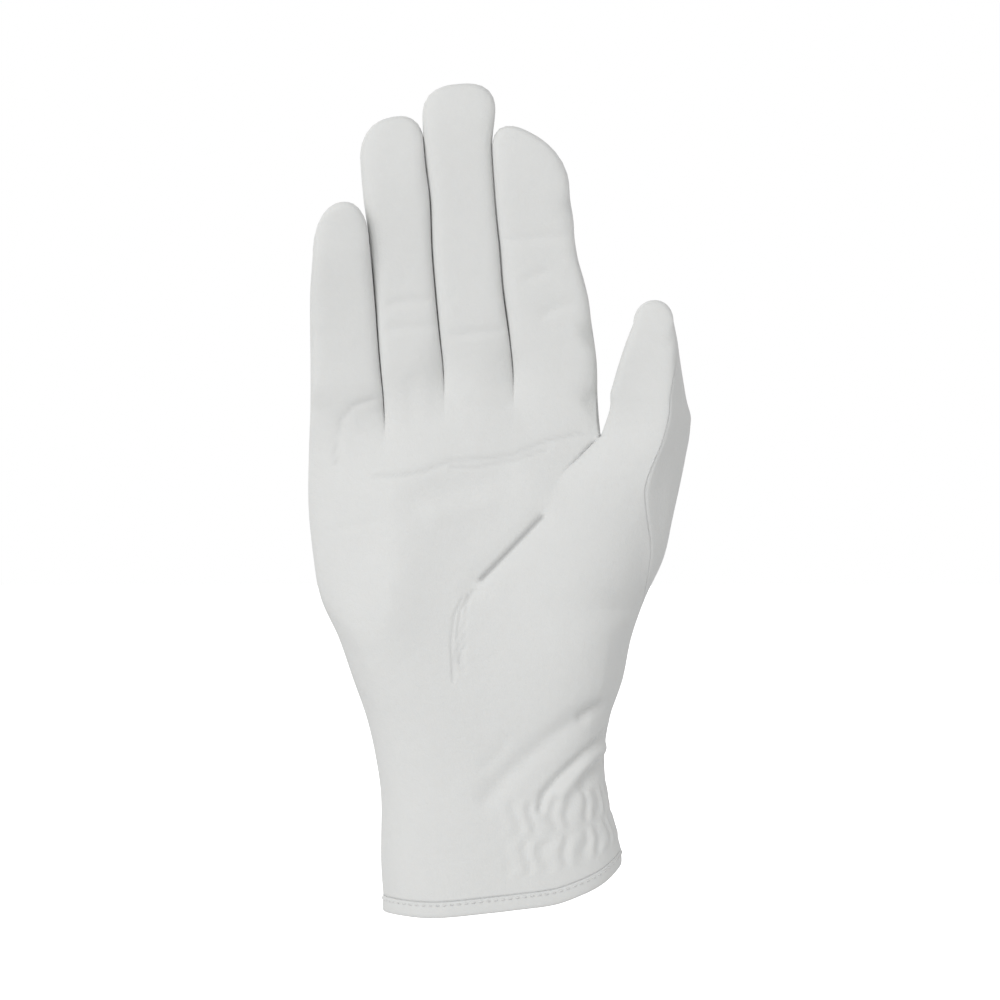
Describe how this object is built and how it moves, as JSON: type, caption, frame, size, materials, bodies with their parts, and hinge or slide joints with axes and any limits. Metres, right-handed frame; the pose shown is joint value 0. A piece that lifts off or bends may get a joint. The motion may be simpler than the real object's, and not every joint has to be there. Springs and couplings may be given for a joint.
{
  "type": "horse riding glove",
  "caption": "White leather riding glove for a right hand, filled as worn, with closed fingers, side strips between them, a gathered wrist and a narrow hem.",
  "frame": {"origin": "middle of the wrist opening, level with the lowest point of the hem", "axes": "+Z towards the fingertips, -Y out of the palm, +X towards the thumb"},
  "size_m": [0.1107, 0.0424, 0.2398],
  "materials": {
    "palm_leather": "soft matt, smooth",
    "back_leather": "soft matt, smooth",
    "strip_leather": "soft matt, smooth",
    "hem_leather": "soft matt, folded edge"
  },
  "bodies": {
    "root": {"palm_panel": "palm_leather", "back_panel": "back_leather", "fourchette_little_ring": "strip_leather", "fourchette_ring_middle": "strip_leather", "fourchette_middle_index": "strip_leather", "thumb_back": "back_leather", "cuff_hem": "hem_leather"}
  },
  "joints": []
}
